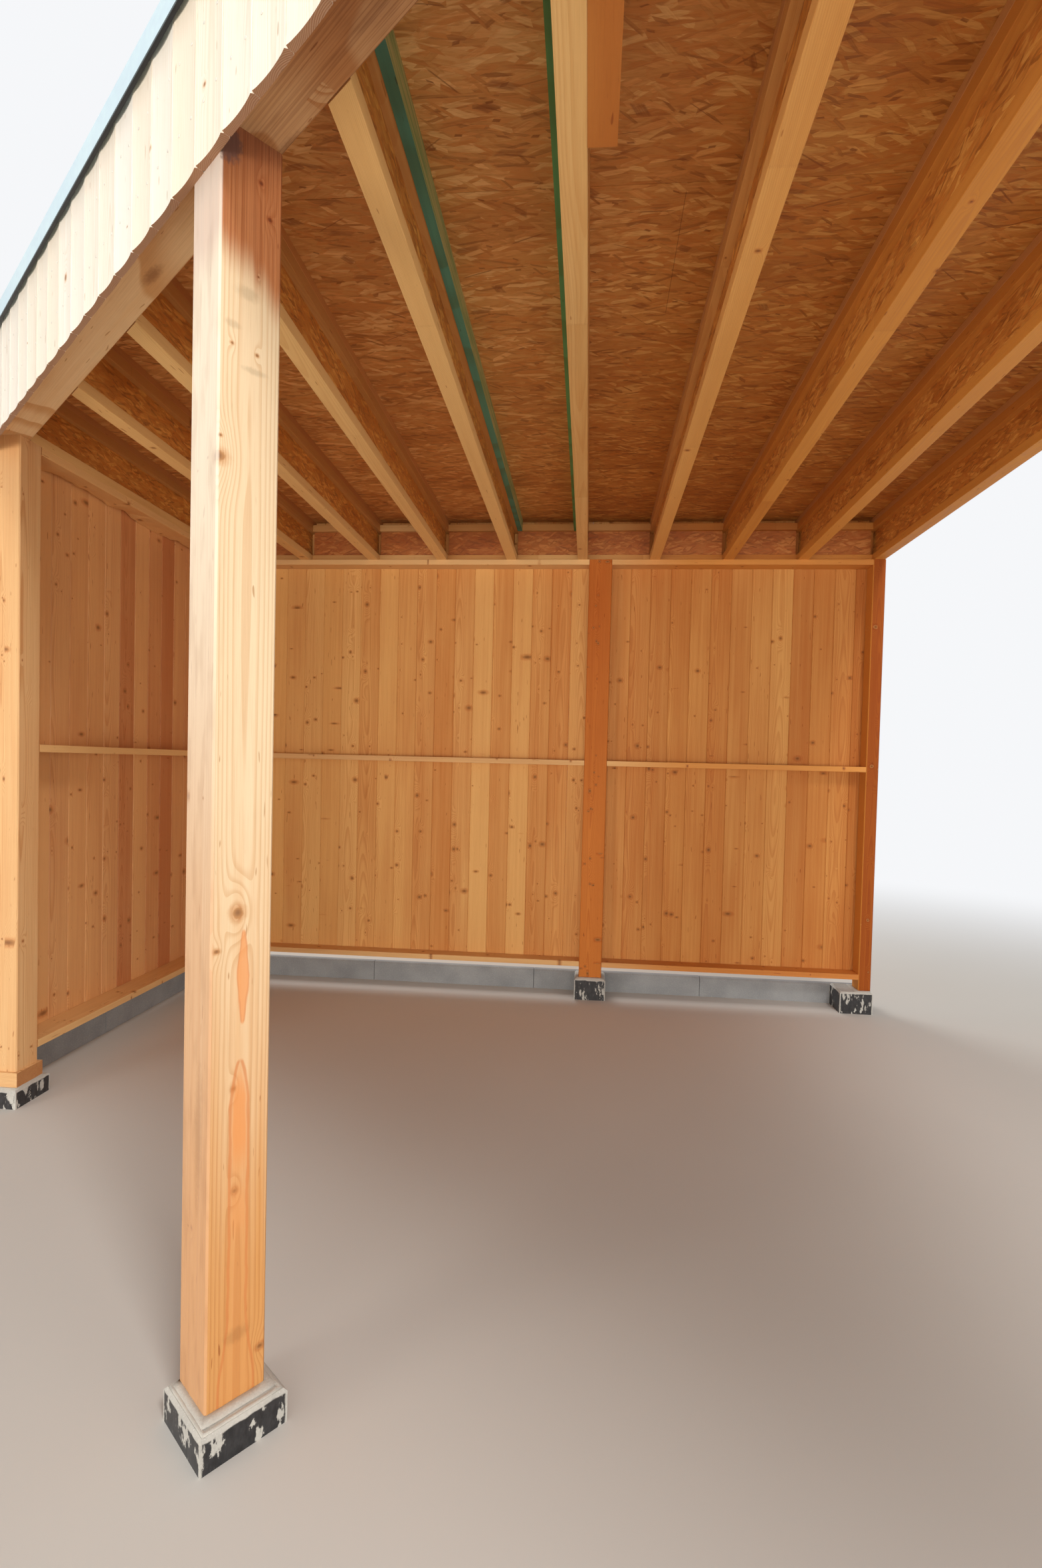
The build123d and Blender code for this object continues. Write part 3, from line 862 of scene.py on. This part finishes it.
def mortar_bed(node, load, axes, draw):
    """Uneven bed round a foot, and a low rim along the edge of the pier with a groove between them."""
    low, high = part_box(load)
    halves = (post_half, post_half) if "front_post" in load else ((high.x - low.x) / 2, (high.y - low.y) / 2)
    middle = centre_of(node)
    middle.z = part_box(node)[1].z
    foot = [((low + high) / 2 - middle).dot(axis) for axis in axes]
    shape, loops, edge = Shape(), [], pier_half - bed_inset
    for share, lift, jitter in bed_rings:
        centre, spans = middle + Z * lift, []
        for axis, at, half in zip(axes, foot, halves):
            inner = half - bed_overlap
            first, last = max(at - half - bed_reach, -edge), min(at + half + bed_reach, edge)
            start = at - inner + (first - at + inner) * share
            end = at + inner + (last - at - inner) * share
            centre += axis * (start + end) / 2
            spans.append((end - start) / 2)
        loops.append(shaken(box_line(centre, axes, spans), draw, jitter, 0.4))
    shape.skin(loops, hoop=True)
    shape.skin([shaken(box_line(middle + Z * lift, axes, [pier_half - inset] * 2), draw, jitter)
                for inset, lift, jitter in rim_rings], hoop=True)
    shape.build(node + "_mortar", mortar, "mortar", smooth=True)


draw = Random(5)
for node, load in pier_loads.items():
    axes = (along, outward) if "front_post" in load else (X, Y)
    coat = black_coat(centre_of(node), axes, pier_half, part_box(node)[1].z)
    cover(node, speckled("Pier_" + node, *pier_concrete, coat=coat))
    mortar_bed(node, load, axes, draw)

# upright boards
board_gap, least_board = 0.0003, 0.01
most_crown = 0.0011
nail_radius, nail_rise = 0.0034, 0.0012
nail_rings = ((0.9, -0.001), (1.0, 0.2), (0.86, 0.7), (0.45, 1.0))      # shares of the radius and of the rise
nail_shares = (0.25, 0.75)         # of a board's width
# how far a nail strays along and up, and its least way from a cut
nail_stray, nail_stray_up, nail_margin = 0.003, 0.004, 0.01


def hollow_at(share):
    """Depth of a board's hollow outer face at a share of its width."""
    return board_hollow * sin(pi * share) ** 0.8


def board_section(width, crown, steps=8):
    """One board: V at both edges, hollow outer face, inner face crowned a little. Across, outward."""
    a, b, v = board_gap / 2, width - board_gap / 2, board_joint / 2
    shares = [k / steps for k in range(steps + 1)]
    inner = [(a + v + (b - a - 2 * v) * share, crown * (2 * share - 1) ** 2) for share in shares]
    outer = [(a + (b - a) * share, board - hollow_at(share)) for share in shares[-2:0:-1]]
    return [(a, v + crown), *inner, (b, v + crown), (b, board - board_joint_depth), (b - v, board), *outer,
            (a + v, board), (a, board - board_joint_depth)]


def joints_of(length, first, step=board_cover, least=least_board):
    """Places of the joints along a row, with nothing left at its end that is shorter than least."""
    inner = [first + i * step for i in range(ceil((length - first) / step))]
    return [0.0] + [joint for joint in inner if joint < length - least] + [length]


def nail(shape, place, way, out, sides=10):
    """Round domed nail head."""
    spokes = [way * cos(2 * pi * k / sides) + Z * sin(2 * pi * k / sides) for k in range(sides)]
    rings = [[place + spoke * nail_radius * share + out * nail_rise * lift for spoke in spokes]
             for share, lift in nail_rings]
    shape.skin(rings)


def wall(name, material, slot, node, start, way, out, joints, low, draw, nail_levels, shades, cuts=(),
         **tones):
    """Boards side by side along a wall, with two nails in each at every nail level. Their shade goes from the
    first of shades to the last."""
    shape, nails = Shape(), Shape()
    for a, b in zip(joints, joints[1:]):
        section = board_section(b - a, draw.uniform(0.0, most_crown))
        ends = straight(start + way * a + Z * low, start + way * a + Z * edge_level, way, out)
        shade = shades[0] + (shades[1] - shades[0]) * a / joints[-1]
        shape.drawn(section, ends, draw, shade, **tones)
        for level in nail_levels:
            for share in nail_shares:
                u = a + (b - a) * share + draw.uniform(-nail_stray, nail_stray)
                place = start + way * u + out * (board - hollow_at(share))
                place += Z * (level + draw.uniform(-nail_stray_up, nail_stray_up))
                if all((place - point).dot(normal) < -nail_margin for point, normal in cuts):
                    nail(nails, place, way, out)
    nails.build(name.rpartition("_board")[0] + "_nails", nail_metal, "fixings", smooth=True)
    shape.build(name, material, slot, node, cuts=cuts)


rail_middle = 0.015
edge_nails = edge_level - 0.035
nail_levels = [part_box(f"left_{level}_rail")[0].z + rail_middle for level in ("bottom", "middle", "top")]
nail_levels += [deck_level - 0.05, edge_nails]
fascia_nails = [joist_level + 0.045, deck_level - 0.06, edge_nails]
# the rear wall's boards go deeper in tone towards the right, as painted shade
wall("rear_wall_boards", board_wood, "wall_boards", "rear_boards", row(left_edge - board, rear_edge), X, Y,
     joints_of(right_edge - left_edge + board, first_board), wall_level, Random(11), nail_levels,
     (0.28, 0.70), spread=0.13, odd=0.10)
left_front = front_y(left_edge - board, beam_width)
wall("left_wall_boards", left_wood, "wall_boards", "left_boards", row(left_edge, left_front), Y, -X,
     joints_of(rear_edge - left_front, first_board), wall_level, Random(12), nail_levels,
     (0.36, 0.36), spread=0.15, odd=0.2)
fascia_end = row(right_edge, front_y(right_edge, beam_width)) + along * board
fascia_length = (right_edge - left_edge + 3 * board) / cos(slope)
wall("fascia_board_row", fascia_wood, "fascia_boards", "front_fascia", fascia_end, -along, outward,
     joints_of(fascia_length, first_fascia_board), fascia_level, Random(13), fascia_nails,
     (0.3, 0.3), cuts=((row(right_edge, 0), X), (row(left_edge - board, 0), -X)), spread=0.14)

# joists: two flanges and a web each, with a firring strip on top and blocking between them at the rear
draw = Random(21)
flange = rounded(flange_width, flange_height)
upper_flange = [(a, d + joist_depth - flange_height) for a, d in flange]
web_low = flange_height - web_tongue
web_section = rounded(web, joist_depth - 2 * web_low, 0.0004, 1, low=web_low)
strip_section = rounded(flange_width, strip, 0.001, 1, low=deck_level - strip - joist_level)
# painted light and shade: joists from here on get pale upper flanges and strips, those before them deep ones
first_painted_lit_joist = 6


def along_joist(middle):
    """Ends of what runs along a joist: square at the rear wall, and on the slant at the beam."""
    return (lambda a, d: row(middle + a, rear_edge, joist_level + d),
            lambda a, d: row(middle + a, front_y(middle + a), joist_level + d))


for i, middle in enumerate(joist_middles):
    flanges, webs = Shape(), Shape()
    # upper flanges: pale as painted light on the right joists, deep as painted shade on the left ones
    for section, shade in ((flange, 0.25), (upper_flange, 0.15 if i >= first_painted_lit_joist else 0.9)):
        flanges.drawn(section, along_joist(middle), draw, shade, 0.12)
    webs.drawn(web_section, along_joist(middle), draw, 0.5, 0.2)
    flanges.build(f"joist_{i}_flanges", flange_wood, "flange_timber", f"joist_{i}")
    webs.build(f"joist_{i}_web", web_board, "strand_board")

strips = Shape()
for i, middle in enumerate(joist_middles):
    # strips: pale as painted light on the right joists, deep as painted shade on the left ones
    shade = 0.05 if i >= first_painted_lit_joist else 0.5
    strips.drawn(strip_section, along_joist(middle), draw, shade, 0.2)
strips.build("firring_strip_bars", strip_wood, "spruce", "firring_strips")

blocking, blocking_webs = Shape(), Shape()
blocking_y = rear_edge - flange_width / 2
for left, right in zip(joist_edges, joist_edges[1:]):
    ends = straight(row(left + flange_width, blocking_y, joist_level), row(right, blocking_y, joist_level), Y)
    for section in (flange, upper_flange):
        blocking.drawn(section, ends, draw, 0.5, 0.2)
    blocking_webs.drawn(web_section, ends, draw, 0.5, 0.25)
blocking.build("rear_blocking_flanges", flange_wood, "flange_timber", "rear_blocking")
blocking_webs.build("rear_blocking_webs", blocking_board, "strand_board")

# rails: on the rear wall two bars a level, on the left wall one. The waney one has its bark edge bitten off
waney, waney_steps = "left_top_rail", 36
bark_reach, most_bite, bite_change = 0.03, 0.016, 0.005
bite_in, bite_up = 1.6, 0.8        # shares of a bite
for node in sorted(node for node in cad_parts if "rail" in node):
    low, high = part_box(node)
    middle, size, shape = (low + high) / 2, high - low, Shape()
    if node.startswith("rear"):
        # painted shade: the right bay's bottom rail is deeper
        right_painted_shade = 0.5 if "bottom" in node else 0.2
        for a, b, shade in ((low.x, mid_post_low.x, 0.2), (mid_post_high.x, high.x, right_painted_shade)):
            ends = straight(Vector((a, middle.y, low.z)), Vector((b, middle.y, low.z)), Y)
            shape.drawn(rounded(size.y, size.z), ends, draw, shade, 0.15)
    else:
        steps, bites = waney_steps if node == waney else 1, [0.0]
        for _ in range(steps):
            bites.append(min(max(bites[-1] + draw.gauss(0.0, bite_change), 0.0), most_bite))

        def bar(k):
            """Place on the rail at one of its steps."""
            def place(s, d):
                edge = max(0.0, 1.0 - (s + size.x / 2) / bark_reach) * max(0.0, 1.0 - d / bark_reach)
                bite = bites[k] * edge
                run = low.y + size.y * k / steps
                return Vector((middle.x + s + bite * bite_in, run, low.z + d + bite * bite_up))
            return place

        shape.drawn(rounded(size.x, size.z), [bar(k) for k in range(steps + 1)], draw, 0.3, 0.15)
    shape.build(node + "_bars", rail_wood, "spruce", node)

# roof boards: sheets laid across the joists, their end seams over a joist and staggered
draw = Random(31)
seam_gap, least_sheet = 0.0015, 0.02
seam_joists = (5,), (2, 8)       # the joists under the end seams, in every other row of sheets
seams = [sheet_seam - origin.y + k * sheet_width for k in range(-5, 5)]
seams = [y for y in seams if y < rear_edge - least_sheet] + [rear_edge]
sheets = Shape()
thickness = roof_level - deck_level
for k, (y0, y1) in enumerate(zip(seams, seams[1:])):
    width = y1 - y0 - seam_gap
    section = [(0, 0), (width, 0), (width, thickness), (0, thickness)]
    joints = [left_edge, *[joist_middles[i] for i in seam_joists[k % 2]], right_edge]
    for a, b in zip(joints, joints[1:]):
        if y1 >= front_y(b, beam_width):
            ends = straight(row(a, y0, deck_level), row(b - seam_gap, y0, deck_level), Y)
            sheets.drawn(section, ends, draw, 0.5, 0.2)
sheets.build("roof_deck_sheets", deck_board, "strand_board", "roof_deck",
             cuts=((row(0, front_y(0, beam_width)), outward),))

# roofing felt: sheets with laps, black beads along them, and an upstand inside the edge battens
lap_rise, lap_slope = 0.0022, 0.02
inner_left, inner_right = left_edge + edge_batten_width, right_edge - edge_batten_width
inner_rear, inner_out = rear_edge - edge_batten_width, beam_width - edge_batten_width
bead_section = [(-0.008, felt_thickness), (0.003, felt_thickness), (0.002, 0.0056), (-0.004, 0.0045)]
felts, beads = Shape(), Shape()
felt_front = front_y(inner_right, inner_out)
y = felt_front
while y < inner_rear:
    width = min(felt_width, inner_rear - y)
    section = [(0, 0), (width, 0), (width, felt_thickness), (felt_lap + lap_slope, felt_thickness),
               (felt_lap, felt_thickness + lap_rise), (0, felt_thickness + lap_rise)]
    ends = straight(row(inner_left, y, roof_level), row(inner_right, y, roof_level), Y)
    felts.stick(section, ends)
    if y > felt_front:
        beads.stick(bead_section, ends)
    y += felt_width - felt_lap
felt_cut = (row(0, front_y(0, inner_out)), outward)
felts.build("roof_felt_sheets", felt, "membrane", "roof_membrane", cuts=(felt_cut,))
beads.build("roof_felt_beads", bitumen, "bitumen", cuts=(felt_cut,))


def at_corner(number):
    """Mitred end of what runs round the roof, out being the distance from the roof's outline. The corners are
    0 front left, 1 rear left, 2 rear right and 3 front right. The right edge lets nothing out past it."""
    def place(out, z):
        x = left_edge - out if number in (0, 1) else right_edge + min(out, 0.0)
        return row(x, rear_edge + out if number in (1, 2) else front_y(x, beam_width + out), z)
    return place


upstand = Shape()
upstand_section = [(-edge_batten_width - felt_thickness, roof_level), (-edge_batten_width, roof_level),
                   (-edge_batten_width, edge_level), (-edge_batten_width - felt_thickness, edge_level)]
for k in range(4):
    upstand.stick(upstand_section, (at_corner(k), at_corner((k + 1) % 4)))
upstand.build("roof_felt_upstands", felt, "membrane")

# metal trim: folded lengths with mitred corners and narrow joints. It is a flat cap along the house.
bend, hem = 0.004, 0.0015
face = board + trim_gap + trim
cap_section = [(-edge_batten_width, trim_top), (0.0, trim_top), (0.0, edge_level),
               (-edge_batten_width, edge_level)]
trim_section = [*cap_section[:2], *arc(face - bend, trim_top - bend, bend, 90, 3, turn=-90),
                (face, trim_low + hem), (face - hem, trim_low), (face - trim - trim_lip, trim_low),
                (face - trim - trim_lip, trim_low + trim), (face - trim, trim_low + trim),
                (face - trim, edge_level), *cap_section[2:]]
trim_joints = [0.52], [0.34, 0.70], [0.5], [0.23, 0.62]     # shares of each side
joint_gap = 0.0025
house_side = 2
trims = Shape()
for k, shares in enumerate(trim_joints):
    corners = at_corner(k), at_corner((k + 1) % 4)
    base, far = (corner(0.0, 0.0) for corner in corners)
    way = (far - base).normalized()
    side = Vector((-way.y, way.x, 0))
    middles = [base.lerp(far, share) for share in shares]
    joints = [straight(at - way * joint_gap / 2, at + way * joint_gap / 2, side) for at in middles]
    ends = [corners[0], *[place for joint in joints for place in joint], corners[1]]
    for start, end in zip(ends[::2], ends[1::2]):
        trims.stick(cap_section if k == house_side else trim_section, (start, end))
trims.build("roof_trim_lengths", trim_metal, "trim_metal", "roof_trim")

# kerbs: concrete units with round top edges, butted end to end
kerb_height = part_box("rear_kerb")[1].z
least_unit, most_sunk = 0.1, 0.002
# of a unit: where it ends, where its section is full, and how far its end is drawn in
unit_end, unit_full, unit_inset = 0.001, 0.003, 0.0015
draw = Random(41)


def kerb_section(inset, height):
    """Section of a kerb unit, drawn in at the sides and at the top."""
    left, right, level = inset + kerb_radius, kerb_width - inset - kerb_radius, height - inset - kerb_radius
    return [(inset, 0.0), (kerb_width - inset, 0.0), *arc(right, level, kerb_radius, 0, 5),
            *arc(left, level, kerb_radius, 90, 5)]


def kerb_row(name, node, start, way, across, length, first):
    """Kerb units from a corner. across points from the row's edge over its width."""
    shape = Shape()
    joints = joints_of(length, first, kerb_unit, least_unit)
    for a, b in zip(joints, joints[1:]):
        height = kerb_height - draw.uniform(0.0, most_sunk)
        places = ((a + unit_end, unit_inset), (a + unit_full, 0.0), (b - unit_full, 0.0),
                  (b - unit_end, unit_inset))
        rings = [[start + way * place + across * s + Z * z for s, z in kerb_section(inset, height)]
                 for place, inset in places]
        shape.skin(rings)
    shape.build(name, kerb_concrete, "concrete", node)


low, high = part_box("rear_kerb")
kerb_row("rear_kerb_units", "rear_kerb", Vector((low.x, low.y, 0)), X, Y, high.x - low.x, 1.08)
low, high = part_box("left_kerb")
kerb_row("left_kerb_units", "left_kerb", Vector((high.x, low.y, 0)), Y, -X, high.y - low.y, 0.80)

# floor, backdrop and light
backdrop = (0.92, 0.93, 0.95, 1.0)
sky = (0.98, 0.97, 0.95, 1.0)
floor_radius, fade_start, fade_end = 60, 3.6, 9.0


def show_backdrop(own, glow, output, share=None):
    """Puts the backdrop's plain colour over own light where the camera, a mirror or glass sees it."""
    graph = own.graph
    rays = graph.put("LightPath")
    seen = graph.out(rays, "Is Camera Ray").most(graph.out(rays, "Is Glossy Ray"))
    seen = seen.most(graph.out(rays, "Is Transmission Ray"))
    mixed = graph.make("MixShader", {0: share * seen if share else seen, 1: own, 2: glow})
    graph.feed(output, mixed)


def floor_material():
    """Pale floor that turns into the backdrop far out."""
    graph = Surface("Floor")
    place = graph.place()
    x, y, _ = place.split()
    colour = place.noise(0.6, detail=3.0).between((0.60, 0.575, 0.54), (0.66, 0.635, 0.60))
    graph.feed(graph.shader.inputs["Base Color"], colour)
    graph.same_all_over({"Roughness": 0.9, "Specular IOR Level": 0.1})
    glow = graph.make("Emission", {"Color": backdrop, "Strength": 1.0})
    show_backdrop(graph.out(graph.shader), glow, graph.tree.nodes["Material Output"].inputs["Surface"],
                  reach_of(x, y).ease(fade_start, fade_end))
    return graph.material


floor_mesh = bpy.data.meshes.new("Floor")
work = bmesh.new()
bmesh.ops.create_circle(work, cap_ends=True, segments=96, radius=floor_radius)
work.to_mesh(floor_mesh)
work.free()
floor_mesh.materials.append(floor_material())
floor = link("Floor", floor_mesh)

world = bpy.data.worlds.new("World")
bpy.context.scene.world = world
world.use_nodes = True
graph = Graph(world.node_tree)
graph.tree.nodes.remove(graph.tree.nodes["Background"])
show_backdrop(graph.make("Background", {"Color": sky, "Strength": 0.5}),
              graph.make("Background", {"Color": backdrop, "Strength": 1.0}),
              graph.tree.nodes["World Output"].inputs["Surface"])


def softbox(name, place, target, size, power, colour):
    """Lamp that the camera doesn't see, turned to a target."""
    lamp = bpy.data.lights.new(name, "AREA")
    lamp.shape = "RECTANGLE"
    lamp.size, lamp.size_y = size
    lamp.energy = power
    lamp.color = colour
    piece = link(name, lamp)
    piece.location = place
    piece.rotation_euler = (Vector(target) - Vector(place)).to_track_quat("-Z", "Y").to_euler()
    piece.visible_camera = False


warm, mild, cool = (1.0, 0.93, 0.84), (1.0, 0.965, 0.92), (1.0, 0.98, 0.95)
softbox("KeyLamp", (2.8, -4.6, 6.6), (0.2, -0.8, 1.2), (1.6, 1.6), power=290, colour=mild)
softbox("FrontLamp", (-4.2, -4.2, 0.9), (0.6, -0.2, 2.2), (2.0, 1.6), power=115, colour=warm)
softbox("SideLamp", (5.0, -3.2, 1.4), (-0.8, 0.6, 1.4), (2.5, 2.2), power=55, colour=warm)
softbox("LowLamp", (0.6, -8.0, 0.5), (0.2, 1.5, 2.4), (5.0, 1.8), power=340, colour=warm)
softbox("BackLamp", (-1.5, 6.5, 4.0), (0.0, 2.4, 0.8), (3.0, 2.0), power=150, colour=cool)

# the photograph's camera
camera_data = bpy.data.cameras.new("Camera")
camera_data.sensor_width = 36.0
camera_data.lens = 16.948
camera_data.clip_start = 0.02
camera_data.clip_end = 200.0
camera = link("Camera", camera_data)
camera.location = (0.3686, -1.9706, 1.3686)
camera.rotation_euler = [radians(turn) for turn in (88.479, -1.390, 5.172)]
bpy.context.scene.camera = camera
bpy.context.scene.view_settings.view_transform = "Standard"
